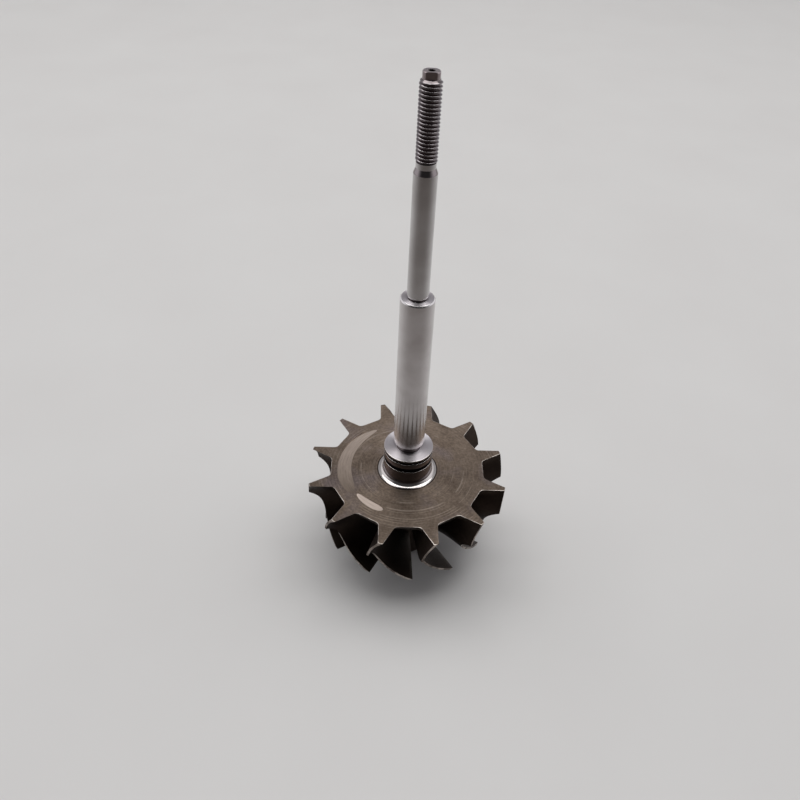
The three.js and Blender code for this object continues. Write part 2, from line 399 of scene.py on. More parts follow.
# angles of the round parts of one sector, which share the columns of the floor at the exducer
exducer_outline = half_outline(exducer_depth, edge_break_depth)
foot_angle = exducer_outline[1 + side_steps + fillet_steps][1]
round_angles = [foot_angle * i / fillet_steps for i in range(fillet_steps + 1)]
round_angles += [mix(foot_angle, half_pitch, i / floor_steps) for i in range(1, floor_steps + 1)]
round_angles += [2 * half_pitch - angle for angle in reversed(round_angles[:-1])]

# back face, with a narrow rough groove round the shaft's collar
collar_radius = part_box("weld_collar")[1].x / MM
groove_width = 0.4
groove_depth = 0.1
groove = [
    (collar_radius + groove_width, 0.0),
    (collar_radius + 0.75 * groove_width, groove_depth),
    (collar_radius + 0.25 * groove_width, groove_depth),
    (collar_radius, 0.0),
]
ring = [corner_vertex(groove[0][0], angle, groove[0][1]) for angle in round_angles]
back = sector.faces.new(rows[0] + ring[::-1])
back[finish_mark] = as_turned
for radius, depth in groove[1:]:
    inner = [corner_vertex(radius, angle, depth) for angle in round_angles]
    skin_between(inner, ring, as_cast)
    ring = inner
pole = sector.verts.new((0, 0, back_face * MM))
for j in range(len(ring) - 1):
    face = sector.faces.new((ring[j], ring[j + 1], pole))
    face[finish_mark] = as_turned

# trailing edges of the blades, and the nose down to its centre hole
nose_chamfer = 0.8
centre_hole_radius = 1.6
centre_hole_depth = 2.6
nose_profile = [
    (nose_radius, back_face - nose_chamfer),
    (nose_radius - 0.25 * nose_chamfer, back_face - 0.3 * nose_chamfer),
    (nose_radius - nose_chamfer, back_face),
    (centre_hole_radius, back_face),
]
ring = [corner_vertex(nose_radius, angle, exducer_depth) for angle in round_angles]
root = side_steps + 1
for end in (0, 1):
    row = rows[-1][::-1] if end else rows[-1]
    circle = ring[::-1] if end else ring
    middle = [row[0]]
    for j in range(1, root + 1):
        middle.append(corner_vertex(exducer_outline[j][0], 2 * half_pitch * end, exducer_depth))
        sector.faces.new(list(dict.fromkeys((middle[-2], row[j - 1], row[j], middle[-1]))))
    sector.faces.new((middle[-1], row[root], circle[0]))
    for j in range(fillet_steps + floor_steps):
        sector.faces.new((row[root + j], row[root + j + 1], circle[j + 1], circle[j]))
for radius, depth in nose_profile:
    inner = [corner_vertex(radius, angle, depth) for angle in round_angles]
    skin_between(ring, inner, as_turned if radius < nose_radius else as_cast)
    ring = inner
pole = sector.verts.new((0, 0, centre_hole_depth * MM))
for j in range(len(ring) - 1):
    sector.faces.new((ring[j], ring[j + 1], pole))

bmesh.ops.remove_doubles(sector, verts=sector.verts, dist=same_place)
bmesh.ops.dissolve_degenerate(sector, dist=same_place, edges=sector.edges)
wheel_mesh = bpy.data.meshes.new("turbine_casting")
sector.to_mesh(wheel_mesh)
sector.free()
wheel = place_mesh("turbine_casting", wheel_mesh)


def turning_direction(tree, place):
    """The way in which a turned surface is roughest: across its tool marks, which run round the axis."""
    split = add(tree, "ShaderNodeSeparateXYZ", {0: place})
    minus_y = add(tree, "ShaderNodeMath", {0: split.outputs["Y"], 1: -1.0}, operation="MULTIPLY")
    round_axis = add(tree, "ShaderNodeCombineXYZ", {0: minus_y.outputs[0], 1: split.outputs["X"]})
    normal = add(tree, "ShaderNodeNewGeometry").outputs["Normal"]
    across = add(
        tree, "ShaderNodeVectorMath",
        {0: normal, 1: round_axis.outputs[0]},
        operation="CROSS_PRODUCT",
    )
    return add(tree, "ShaderNodeVectorMath", {0: across.outputs[0]}, operation="NORMALIZE").outputs[0]


def distance_from_axis(tree, place):
    """Distance from the shaft's axis, in millimetres."""
    flat = add(tree, "ShaderNodeVectorMath", {0: place, 1: (1 / MM, 1 / MM, 0)}, operation="MULTIPLY")
    return add(tree, "ShaderNodeVectorMath", {0: flat.outputs[0]}, operation="LENGTH").outputs["Value"]


# Investment-cast nickel alloy, blasted and heat-stained: dark brown-grey with a fine sandy grain.
cast_skin, tree = new_material("investment_cast_nickel_alloy")
place = add(tree, "ShaderNodeTexCoord").outputs["Object"]
grain = add(tree, "ShaderNodeTexNoise", {"Vector": place, "Scale": 1 / (0.6 * MM), "Detail": 5.0})
stain = add(tree, "ShaderNodeTexNoise", {"Vector": place, "Scale": 1 / (6 * MM), "Detail": 5.0})
tone = add(
    tree, "ShaderNodeMix",
    {0: stain.outputs[0], 6: linear("2a2220"), 7: linear("4a4038")},
    data_type="RGBA",
)
rough = add(tree, "ShaderNodeMapRange", {0: grain.outputs[0], 1: 0.3, 2: 0.7, 3: 0.42, 4: 0.58})
bumps = add(tree, "ShaderNodeBump", {"Strength": 0.35, "Distance": 0.03 * MM, "Height": grain.outputs[0]})
skin = add(
    tree, "ShaderNodeBsdfPrincipled",
    {
        "Base Color": tone.outputs[2],
        "Metallic": 1.0,
        "Roughness": rough.outputs[0],
        "Normal": bumps.outputs[0],
    },
)
add(tree, "ShaderNodeOutputMaterial", {"Surface": skin.outputs[0]})

# The same alloy, turned and then browned by heat: cloudy brown stains, some purplish, and fine rings from the
# tool.
# It is painted darker in front, a painted shade, and a few lighter arcs are painted highlights where the
# rings catch the light. The rings are drawn coarser than real ones.
turned_skin, tree = new_material("turned_nickel_alloy")
place = add(tree, "ShaderNodeTexCoord").outputs["Object"]
radius = distance_from_axis(tree, place)
ring_place = add(tree, "ShaderNodeCombineXYZ", {0: radius}).outputs[0]
rings = add(
    tree, "ShaderNodeTexNoise",
    {"Vector": ring_place, "Scale": 1 / 0.6, "Detail": 5.0, "Roughness": 0.75},
)
cloud = add(
    tree, "ShaderNodeTexNoise",
    {"Vector": place, "Scale": 1 / (7 * MM), "Detail": 6.0, "Roughness": 0.6},
)
tint = add(tree, "ShaderNodeTexNoise", {"Vector": place, "Scale": 1 / (13 * MM), "Detail": 3.0})
fleck = add(tree, "ShaderNodeTexNoise", {"Vector": place, "Scale": 1 / (0.8 * MM), "Detail": 5.0})
glint_arcs = add(tree, "ShaderNodeTexNoise", {"Vector": ring_place, "Scale": 1 / 0.9, "Detail": 2.0})
patch = add(tree, "ShaderNodeTexNoise", {"Vector": place, "Scale": 1 / (9 * MM), "Detail": 2.0})
brown = add(
    tree, "ShaderNodeMix",
    {0: cloud.outputs[0], 6: linear("43372f"), 7: linear("8b7d70")},
    data_type="RGBA",
)
purple_share = add(tree, "ShaderNodeMapRange", {0: tint.outputs[0], 1: 0.5, 2: 0.68, 3: 0.0, 4: 0.7})
tinted = add(
    tree, "ShaderNodeMix",
    {0: purple_share.outputs[0], 6: brown.outputs[2], 7: linear("6e6463")},
    data_type="RGBA",
)
ring_share = add(tree, "ShaderNodeMapRange", {0: rings.outputs[0], 1: 0.35, 2: 0.7, 3: 0.78, 4: 1.3})
fleck_share = add(tree, "ShaderNodeMapRange", {0: fleck.outputs[0], 1: 0.35, 2: 0.75, 3: 0.8, 4: 1.25})
frontward = add(tree, "ShaderNodeSeparateXYZ", {0: place}).outputs["Y"]
# painted shade: the face is darker towards the front, the camera's side
front_shade_share = add(tree, "ShaderNodeMapRange", {0: frontward, 1: -25 * MM, 2: 5 * MM, 3: 0.76, 4: 1.1})
light_share = front_shade_share
for pattern in (ring_share, fleck_share):
    light_share = add(
        tree, "ShaderNodeMath",
        {0: light_share.outputs[0], 1: pattern.outputs[0]},
        operation="MULTIPLY",
    )
ringed = add(
    tree, "ShaderNodeVectorMath",
    {0: tinted.outputs[2], "Scale": light_share.outputs[0]},
    operation="SCALE",
)
# painted highlights: a few lighter arcs where the tool rings catch the light
glint_arc_share = add(tree, "ShaderNodeMapRange", {0: glint_arcs.outputs[0], 1: 0.54, 2: 0.64, 3: 0.0, 4: 0.4})
patch_share = add(tree, "ShaderNodeMapRange", {0: patch.outputs[0], 1: 0.48, 2: 0.6})
glint_share = add(
    tree, "ShaderNodeMath",
    {0: glint_arc_share.outputs[0], 1: patch_share.outputs[0]},
    operation="MULTIPLY",
)
tone = add(
    tree, "ShaderNodeMix",
    {0: glint_share.outputs[0], 6: ringed.outputs[0], 7: linear("aa9d91")},
    data_type="RGBA",
)
bumps = add(tree, "ShaderNodeBump", {"Strength": 0.4, "Distance": 0.02 * MM, "Height": rings.outputs[0]})
skin = add(
    tree, "ShaderNodeBsdfPrincipled",
    {
        "Base Color": tone.outputs[2],
        "Metallic": 1.0,
        "Roughness": 0.42,
        "Anisotropic": 0.5,
        "Normal": bumps.outputs[0],
        "Tangent": turning_direction(tree, place),
    },
)
add(tree, "ShaderNodeOutputMaterial", {"Surface": skin.outputs[0]})

# The same alloy on the sharp edges of the teeth and the rims of the blades, rubbed bright here and there.
worn_skin, tree = new_material("worn_nickel_alloy_edge")
place = add(tree, "ShaderNodeTexCoord").outputs["Object"]
wear = add(tree, "ShaderNodeTexNoise", {"Vector": place, "Scale": 1 / (3 * MM), "Detail": 5.0})
bright_share = add(tree, "ShaderNodeMapRange", {0: wear.outputs[0], 1: 0.4, 2: 0.65})
tone = add(
    tree, "ShaderNodeMix",
    {0: bright_share.outputs[0], 6: linear("6f665f"), 7: linear("d6cdc5")},
    data_type="RGBA",
)
skin = add(
    tree, "ShaderNodeBsdfPrincipled",
    {"Base Color": tone.outputs[2], "Metallic": 1.0, "Roughness": 0.45},
)
add(tree, "ShaderNodeOutputMaterial", {"Surface": skin.outputs[0]})


def give_inputs(tree, wanted):
    """Gives a Geometry Nodes tree its named inputs and its output, and returns each input's key and value."""
    keys = {}
    for name, kind, value in wanted:
        socket = tree.interface.new_socket(name, in_out="INPUT", socket_type=kind)
        keys[name] = (socket.identifier, value)
    tree.interface.new_socket("Geometry", in_out="OUTPUT", socket_type="NodeSocketGeometry")
    return keys


# the tree twists one sector by its depth below the back face and repeats it round the axis
tree = bpy.data.node_groups.new("blade_ring", "GeometryNodeTree")
ring_inputs = give_inputs(tree, (
    ("Geometry", "NodeSocketGeometry", None),
    ("Blade Count", "NodeSocketInt", blade_count),
    ("First Blade Angle", "NodeSocketFloat", first_blade_angle),
    ("Back Face", "NodeSocketFloat", back_face),
    ("Exducer Depth", "NodeSocketFloat", exducer_depth),
    ("Wrap Lean", "NodeSocketFloat", wrap_lean),
    ("Wrap Curl", "NodeSocketFloat", wrap_curl),
    ("Wrap Tail", "NodeSocketFloat", wrap_tail),
    ("Cast Skin", "NodeSocketMaterial", cast_skin),
    ("Turned Skin", "NodeSocketMaterial", turned_skin),
    ("Worn Skin", "NodeSocketMaterial", worn_skin),
))
given = add(tree, "NodeGroupInput").outputs
position = add(tree, "GeometryNodeInputPosition").outputs[0]
height = add(tree, "ShaderNodeSeparateXYZ", {0: position}).outputs["Z"]
height_mm = add(tree, "ShaderNodeMath", {0: height, 1: 1 / MM}, operation="MULTIPLY").outputs[0]
below = add(tree, "ShaderNodeMath", {0: given["Back Face"], 1: height_mm}, operation="SUBTRACT").outputs[0]
depth = add(tree, "ShaderNodeClamp", {0: below, 1: 0.0, 2: given["Exducer Depth"]}).outputs[0]
wrap = given["Wrap Tail"]
for term in (given["Wrap Curl"], given["Wrap Lean"], 0.0):
    wrap = add(tree, "ShaderNodeMath", {0: wrap, 1: depth, 2: term}, operation="MULTIPLY_ADD").outputs[0]
wrap = add(tree, "ShaderNodeMath", {0: wrap}, operation="RADIANS").outputs[0]
twisted = add(
    tree, "ShaderNodeVectorRotate",
    {"Vector": position, "Axis": (0, 0, 1), "Angle": wrap},
    rotation_type="AXIS_ANGLE",
)
blade = add(
    tree, "GeometryNodeSetPosition",
    {"Geometry": given["Geometry"], "Position": twisted.outputs[0]},
)
spots = add(tree, "GeometryNodePoints", {"Count": given["Blade Count"]})
number = add(tree, "GeometryNodeInputIndex").outputs[0]
share = add(tree, "ShaderNodeMath", {0: number, 1: given["Blade Count"]}, operation="DIVIDE").outputs[0]
turn = add(
    tree, "ShaderNodeMath",
    {0: share, 1: 2 * math.pi, 2: given["First Blade Angle"]},
    operation="MULTIPLY_ADD",
)
spin = add(tree, "FunctionNodeAxisAngleToRotation", {"Axis": (0, 0, 1), "Angle": turn.outputs[0]})
placed = add(
    tree, "GeometryNodeInstanceOnPoints",
    {"Points": spots.outputs[0], "Instance": blade.outputs[0], "Rotation": spin.outputs[0]},
)
real = add(tree, "GeometryNodeRealizeInstances", {0: placed.outputs[0]})
joined = add(tree, "GeometryNodeMergeByDistance", {"Geometry": real.outputs[0], "Distance": 4 * same_place})
finish = add(tree, "GeometryNodeInputNamedAttribute", {"Name": "finish"}, data_type="INT").outputs[0]
dressed = joined.outputs[0]
for mark, skin_name in ((as_cast, "Cast Skin"), (as_turned, "Turned Skin"), (as_worn, "Worn Skin")):
    chosen = add(tree, "FunctionNodeCompare", {2: finish, 3: mark}, data_type="INT", operation="EQUAL")
    dressed = add(
        tree, "GeometryNodeSetMaterial",
        {"Geometry": dressed, "Selection": chosen.outputs[0], "Material": given[skin_name]},
    ).outputs[0]
add(tree, "NodeGroupOutput", {0: dressed})


def grow(thing, tree, inputs):
    """Runs a Geometry Nodes tree on an object and keeps the result as its plain mesh."""
    modifier = thing.modifiers.new(tree.name, "NODES")
    modifier.node_group = tree
    for identifier, value in inputs.values():
        if value is not None:
            modifier[identifier] = value
    evaluated = thing.evaluated_get(bpy.context.evaluated_depsgraph_get())
    mesh = bpy.data.meshes.new_from_object(evaluated)
    thing.modifiers.remove(modifier)
    thing.data = mesh
    mesh.name = thing.name


def finish_surface(mesh, sharp_angle):
    """Turns all faces outwards, and shades them smooth up to sharp edges and changes of finish."""
    whole = bmesh.new()
    whole.from_mesh(mesh)
    bmesh.ops.recalc_face_normals(whole, faces=whole.faces)
    for edge in whole.edges:
        finishes = {face.material_index for face in edge.link_faces}
        edge.smooth = len(finishes) == 1 and edge.calc_face_angle(0) < math.radians(sharp_angle)
    for face in whole.faces:
        face.smooth = True
    whole.to_mesh(mesh)
    whole.free()


grow(wheel, tree, ring_inputs)


def ground_alloy(name, front_colour, back_colour):
    """Alloy bared by grinding: paler than the browned face, with streaks that run round the axis.
    The colour runs from the front of the wheel to its back, darker in front: a painted shade."""
    material, tree = new_material(name)
    place = add(tree, "ShaderNodeTexCoord").outputs["Object"]
    radius = distance_from_axis(tree, place)
    frontward = add(tree, "ShaderNodeSeparateXYZ", {0: place}).outputs["Y"]
    drift = add(tree, "ShaderNodeMath", {0: frontward, 1: 0.1 / MM}, operation="MULTIPLY").outputs[0]
    streak_place = add(tree, "ShaderNodeCombineXYZ", {0: radius, 1: drift})
    streaks = add(
        tree, "ShaderNodeTexNoise",
        {"Vector": streak_place.outputs[0], "Scale": 1 / 0.5, "Detail": 5.0, "Roughness": 0.7},
    )
    # painted shade: the cut is darker towards the front of the wheel
    cut_front_shade = add(tree, "ShaderNodeMapRange", {0: frontward, 1: -13 * MM, 2: 17 * MM})
    base = add(
        tree, "ShaderNodeMix",
        {0: cut_front_shade.outputs[0], 6: linear(front_colour), 7: linear(back_colour)},
        data_type="RGBA",
    )
    streak_share = add(tree, "ShaderNodeMapRange", {0: streaks.outputs[0], 1: 0.3, 2: 0.7, 3: 0.8, 4: 1.2})
    tone = add(
        tree, "ShaderNodeVectorMath",
        {0: base.outputs[2], "Scale": streak_share.outputs[0]},
        operation="SCALE",
    )
    bumps = add(
        tree, "ShaderNodeBump",
        {"Strength": 0.3, "Distance": 0.01 * MM, "Height": streaks.outputs[0]},
    )
    skin = add(
        tree, "ShaderNodeBsdfPrincipled",
        {"Base Color": tone.outputs[0], "Metallic": 1.0, "Roughness": 0.42, "Normal": bumps.outputs[0]},
    )
    add(tree, "ShaderNodeOutputMaterial", {"Surface": skin.outputs[0]})
    return material


def ground_cut(name, angles, middle_radius, half_width, edge_depths, skin):
    """A solid to cut the back face with: a blunt-ended band round the axis, ground with the wheel turning.
    The angles, in degrees, are its start, its widest place and its end; its outer edge cuts by the first
    depth and its inner edge by the second."""
    start, widest, end = angles
    sliver = bmesh.new()
    stations = []
    cut_steps = 48
    for i in range(cut_steps + 1):
        angle = mix(start, end, (1 - math.cos(math.pi * i / cut_steps)) / 2)
        nearer_start = (angle - widest) * (start - widest) > 0
        past = (angle - widest) / ((start if nearer_start else end) - widest)
        fullness = math.sqrt(max(1 - past ** 2, 0))
        station = []
        for side, edge_depth in zip((1, -1), edge_depths):
            spot = polar(middle_radius + side * half_width * fullness, math.radians(angle)) * MM
            for height in (back_face - edge_depth * fullness, back_face + 1):
                station.append(sliver.verts.new((spot.x, spot.y, height * MM)))
        stations.append(station)
    for one, other in zip(stations, stations[1:]):
        for a, b in ((0, 1), (1, 3), (3, 2), (2, 0)):
            sliver.faces.new((one[a], one[b], other[b], other[a]))
    bmesh.ops.remove_doubles(sliver, verts=sliver.verts, dist=2 * same_place)
    bmesh.ops.dissolve_degenerate(sliver, dist=2 * same_place, edges=sliver.edges)
    bmesh.ops.recalc_face_normals(sliver, faces=sliver.faces)
    mesh = bpy.data.meshes.new(name)
    sliver.to_mesh(mesh)
    sliver.free()
    mesh.materials.append(skin)
    return place_mesh(name, mesh)


# the long cut is painted with shade, darkest at the front, and the short one is fresh and bright, one colour
# all over
shaded_cut_alloy = ground_alloy("balance_ground_alloy_front_shaded", "665b52", "ad9f94")
fresh = ground_alloy("balance_ground_alloy_fresh", "9a8e85", "9a8e85")
cuts = (
    ground_cut("crescent_cut", (122, 192, 216), 22.7, 2.55, (0.3, 0.06), shaded_cut_alloy),
    ground_cut("leaf_cut", (-141.5, -121, -111), 21.8, 1.4, (0.35, 0.1), fresh),
)
for cutter in cuts:
    cutting = wheel.modifiers.new(cutter.name, "BOOLEAN")
    cutting.object = cutter
    cutting.solver = "EXACT"
    cutting.material_mode = "TRANSFER"
cut_wheel = wheel.evaluated_get(bpy.context.evaluated_depsgraph_get())
wheel.data = bpy.data.meshes.new_from_object(cut_wheel)
wheel.modifiers.clear()
for cutter in cuts:
    bpy.data.objects.remove(cutter)
wheel_sharp_angle = 32
finish_surface(wheel.data, wheel_sharp_angle)
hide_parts("nose", "hub_disc", *[f"blade_{i + 1:02d}" for i in range(blade_count)])
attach(wheel, "root")


# Collar and seal boss: the thick end of the steel shaft, welded to the wheel and finely turned afterwards.
# The collar sweeps up into the boss, which has two square grooves for the sealing rings, painted dark
# with shade. The boss's sides are painted darker with shade, and its top is faced bright.
steel_segments = 160
steel_sharp_angle = 35
# a face is flat when its normal is this steep, and levels closer than the slack, in millimetres, are one
flat_normal = 0.999
level_slack = 0.01


def lathe(name, corners, side_skin, end_skin):
    """A turned piece from (radius, height, rounding) corners, in millimetres, from the bottom up.
    A corner with a rounding above 0 becomes an arc of that size, and flat ends have a finish of their own."""
    points = []
    arc_steps = 4
    for i, (radius, height, rounding) in enumerate(corners):
        corner = Vector((radius, height))
        if rounding == 0:
            points.append(corner)
            continue
        before = (Vector(corners[i - 1][:2]) - corner).normalized() * rounding
        after = (Vector(corners[i + 1][:2]) - corner).normalized() * rounding
        for k in range(arc_steps + 1):
            t = k / arc_steps
            points.append(corner + before * (1 - t) ** 2 + after * t ** 2)
    vertices = []
    faces = []
    rings = []
    for point in points:
        count = steel_segments if point.x > 0 else 1
        rings.append([len(vertices) + k % count for k in range(steel_segments)])
        for k in range(count):
            spot = polar(point.x * MM, 2 * math.pi * k / steel_segments)
            vertices.append((spot.x, spot.y, point.y * MM))
    for lower, upper in zip(rings, rings[1:]):
        for k in range(steel_segments):
            next_k = (k + 1) % steel_segments
            faces.append(list(dict.fromkeys((lower[k], lower[next_k], upper[next_k], upper[k]))))
    mesh = bpy.data.meshes.new(name)
    mesh.from_pydata(vertices, [], faces)
    mesh.materials.append(side_skin)
    mesh.materials.append(end_skin)
    for polygon in mesh.polygons:
        polygon.material_index = 1 if abs(polygon.normal.z) > flat_normal else 0
    finish_surface(mesh, steel_sharp_angle)
    return place_mesh(name, mesh)


def reskin(piece, skin, chosen):
    """Gives another skin to the faces that are chosen by their middle, in millimetres, and their normal."""
    piece.data.materials.append(skin)
    for polygon in piece.data.polygons:
        if chosen(polygon.center / MM, polygon.normal):
            polygon.material_index = len(piece.data.materials) - 1
    finish_surface(piece.data, steel_sharp_angle)


def steel(name, colour, roughness, anisotropy, line_width, line_depth):
    """Bright shaft steel with faint brown smudges of old oil, which are also duller, and fine lines round
    the axis, of this width and depth in millimetres. The lines are drawn wider than the real ones, so that
    they show."""
    material, tree = new_material(name)
    place = add(tree, "ShaderNodeTexCoord").outputs["Object"]
    radius = distance_from_axis(tree, place)
    height = add(tree, "ShaderNodeSeparateXYZ", {0: place}).outputs["Z"]
    height_mm = add(tree, "ShaderNodeMath", {0: height, 1: 1 / MM}, operation="MULTIPLY").outputs[0]
    profile_place = add(tree, "ShaderNodeCombineXYZ", {0: radius, 1: height_mm})
    lines = add(
        tree, "ShaderNodeTexNoise",
        {"Vector": profile_place.outputs[0], "Scale": 1 / line_width, "Detail": 3.0},
    )
    bumps = add(
        tree, "ShaderNodeBump",
        {"Strength": 0.5, "Distance": line_depth * MM, "Height": lines.outputs[0]},
    )
    smudge = add(tree, "ShaderNodeTexNoise", {"Vector": place, "Scale": 1 / (8 * MM), "Detail": 3.0})
    rough = add(
        tree, "ShaderNodeMapRange",
        {0: smudge.outputs[0], 1: 0.3, 2: 0.7, 3: 0.85 * roughness, 4: 1.2 * roughness},
    )
    oil_share = add(tree, "ShaderNodeMapRange", {0: smudge.outputs[0], 1: 0.4, 2: 0.65, 3: 0.0, 4: 0.17})
    oiled = add(
        tree, "ShaderNodeMix",
        {0: oil_share.outputs[0], 6: linear(colour), 7: linear("6b5648")},
        data_type="RGBA",
    )
    skin = add(
        tree, "ShaderNodeBsdfPrincipled",
        {
            "Base Color": oiled.outputs[2],
            "Metallic": 1.0,
            "Roughness": rough.outputs[0],
            "Anisotropic": anisotropy,
            "Normal": bumps.outputs[0],
            "Tangent": turning_direction(tree, place),
        },
    )
    add(tree, "ShaderNodeOutputMaterial", {"Surface": skin.outputs[0]})
    return material


# Finely turned steel, nearly a mirror; faced steel, whose rings smear the light outwards in a bright fan;
# turned steel painted darker, a painted shade; and the walls of grooves and hollows, painted darker still
# with shade.
turned_steel = steel("fine_turned_steel", "d2cdca", 0.16, 0.2, 0.25, 0.003)
faced_steel = steel("faced_steel", "d2cdd0", 0.45, 0.95, 0.25, 0.003)
shaded_turned_steel = steel("painted_shade_turned_steel", "8f8889", 0.14, 0.3, 0.25, 0.003)
shaded_groove_steel = steel("painted_shade_groove_steel", "4a4445", 0.3, 0.3, 0.25, 0.003)

boss_foot = back_face
boss_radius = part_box("seal_boss")[1].x / MM
boss_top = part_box("seal_boss")[1].z / MM
cove_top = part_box("weld_collar")[1].z / MM
collar_rim = 0.05
cove_foot = boss_foot + collar_rim
cove_steps = 10
ring_groove_radius = 7.35
# foot and top of the lower and of the upper groove, above the back face
ring_grooves = ((6.4, 8.15), (10.1, 11.0))
groove_lip, groove_corner, turned_edge = 0.08, 0.1, 0.15
boss_corners = [(0, boss_foot, 0), (collar_radius, boss_foot, 0)]
for i in range(cove_steps + 1):
    sweep = math.pi / 2 * i / cove_steps
    boss_corners.append((
        mix(collar_radius, boss_radius, math.sin(sweep)),
        mix(cove_foot, cove_top, 1 - math.cos(sweep)),
        0,
    ))
for low, high in ring_grooves:
    boss_corners += [
        (boss_radius, boss_foot + low, groove_lip),
        (ring_groove_radius, boss_foot + low, groove_corner),
        (ring_groove_radius, boss_foot + high, groove_corner),
        (boss_radius, boss_foot + high, groove_lip),
    ]
boss_corners += [(boss_radius, boss_top, turned_edge), (0, boss_top, 0)]
boss = lathe("seal_boss_and_collar", boss_corners, turned_steel, faced_steel)
groove_mouth_radius = mix(ring_groove_radius, boss_radius, 0.8)
steep_normal = 0.5


def in_ring_groove(middle, normal):
    return cove_top < middle.z < boss_top - level_slack and middle.xy.length < groove_mouth_radius


# painted shade on the boss's steep sides
reskin(boss, shaded_turned_steel, lambda middle, normal: abs(normal.z) < steep_normal)
# painted shade in the ring grooves
reskin(boss, shaded_groove_steel, in_ring_groove)
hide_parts("weld_collar", "seal_boss")
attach(boss, "root")


# Bearing journal: the length of the shaft that runs in the bearings, hardened, ground and polished, so that
# it smears what it reflects along itself. A relief at its foot lets the grinding wheel run out; it is painted
# darker with shade, and darker still in its corner. The thrust collar is clamped on its top shoulder, round
# the groove under the stub, which is painted dark with shade.
ground_steel = steel("ground_hardened_steel", "d6d3d3", 0.16, 0.95, 0.12, 0.001)
journal_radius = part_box("bearing_journal")[1].x / MM
journal_top = back_face + 73.0
journal_chamfer = 0.4
journal_relief_radius = 4.0
journal_relief_length = 2.7
journal_relief_straight = 0.7 * journal_relief_length
journal_relief_curve = 0.4
journal_foot_edge = 0.25
fillet_width, fillet_height = 0.25, 0.2
ground_edge = 0.1
stub_relief_radius = 3.0
stub_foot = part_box("bearing_journal")[1].z / MM
journal = lathe("bearing_journal_ground", [
    (0, boss_top, 0),
    (journal_relief_radius + fillet_width, boss_top, 0),
    (journal_relief_radius, boss_top + fillet_height, fillet_height),
    (journal_relief_radius, boss_top + journal_relief_straight, journal_relief_curve),
    (journal_radius, boss_top + journal_relief_length, journal_foot_edge),
    (journal_radius, journal_top - journal_chamfer, ground_edge),
    (journal_radius - journal_chamfer, journal_top, ground_edge),
    (stub_relief_radius, journal_top, ground_edge),
    (stub_relief_radius, stub_foot, 0),
    (0, stub_foot, 0),
], ground_steel, faced_steel)


def in_journal_corner(middle, normal):
    return middle.z < boss_top + fillet_height or middle.z > journal_top + level_slack


# painted shade on the relief at the journal's foot
reskin(journal, shaded_turned_steel, lambda middle, normal: middle.z < boss_top + journal_relief_length)
# painted shade, darker still, in the corner at the foot and in the groove under the stub
reskin(journal, shaded_groove_steel, in_journal_corner)
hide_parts("bearing_journal")
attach(journal, "root")


# Compressor stub: the thinner ground length that carries the compressor wheel.
# It starts above a relief painted dark with shade, and ends in a turned chamfer down to the neck of the
# thread, painted darker with shade.
# No bearing has run on it, so its ground surface is greyer than the journal's.
stub_steel = steel("ground_stub_steel", "cccbcb", 0.16, 0.95, 0.12, 0.001)
stub_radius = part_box("compressor_stub")[1].x / MM
stub_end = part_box("compressor_stub")[1].z / MM
stub_relief_length = 0.8
stub_chamfer_length = 1.5
neck_radius = 2.78
stub = lathe("compressor_stub_ground", [
    (0, stub_foot, 0),
    (stub_relief_radius, stub_foot, 0),
    (stub_radius, journal_top + stub_relief_length, ground_edge),
    (stub_radius, stub_end - stub_chamfer_length, turned_edge),
    (neck_radius, stub_end, 0),
    (0, stub_end, 0),
], stub_steel, faced_steel)
# painted shade on the chamfer
reskin(stub, shaded_turned_steel, lambda middle, normal: middle.z > stub_end - stub_chamfer_length)
# painted shade in the relief under the stub
reskin(stub, shaded_groove_steel, lambda middle, normal: middle.z < stub_foot + stub_relief_length)
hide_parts("compressor_stub")
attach(stub, "root")


# Threaded end: a short neck and a left-handed thread for the nut, rolled into the turned bar.
# The radius of a fine cylinder follows the thread's form, so the ridge runs out at both chamfered ends.
thread_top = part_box("threaded_end")[1].z / MM
neck_top = back_face + 115.15
thread_radius = 2.99
thread_root_radius = 2.4
thread_pitch = 1.0
crest_flat = 0.07
root_flat = 0.42
front_crest = back_face + 134.8
head_chamfer = 0.8
head_radius = 2.3
foot_chamfer = 0.5
run_out_radius = 3.29
rows_per_pitch = 24
thread_segments = 64

# Rolled thread steel: bright where the nut has rubbed the crests; down in the roots it is painted darker
# with shade, mottled, and a little rougher.
thread_steel, tree = new_material("rolled_thread_steel")
place = add(tree, "ShaderNodeTexCoord").outputs["Object"]
# 1 on the crests, 0 down in the roots, where the darker colour is painted shade
crest_wear_and_root_shade = add(
    tree, "ShaderNodeMapRange",
    {0: distance_from_axis(tree, place), 1: mix(thread_root_radius, thread_radius, 0.5), 2: thread_radius},
    interpolation_type="SMOOTHSTEP",
)
grime = add(tree, "ShaderNodeTexNoise", {"Vector": place, "Scale": 1 / (1.5 * MM), "Detail": 4.0})
shaded_root_tone = add(
    tree, "ShaderNodeMix",
    {0: grime.outputs[0], 6: linear("6a6364"), 7: linear("867e7f")},
    data_type="RGBA",
)
tone = add(
    tree, "ShaderNodeMix",
    {0: crest_wear_and_root_shade.outputs[0], 6: shaded_root_tone.outputs[2], 7: linear("989394")},
    data_type="RGBA",
)
rough = add(tree, "ShaderNodeMapRange", {0: crest_wear_and_root_shade.outputs[0], 3: 0.2, 4: 0.15})
skin = add(
    tree, "ShaderNodeBsdfPrincipled",
    {"Base Color": tone.outputs[2], "Metallic": 1.0, "Roughness": rough.outputs[0]},
)
add(tree, "ShaderNodeOutputMaterial", {"Surface": skin.outputs[0]})

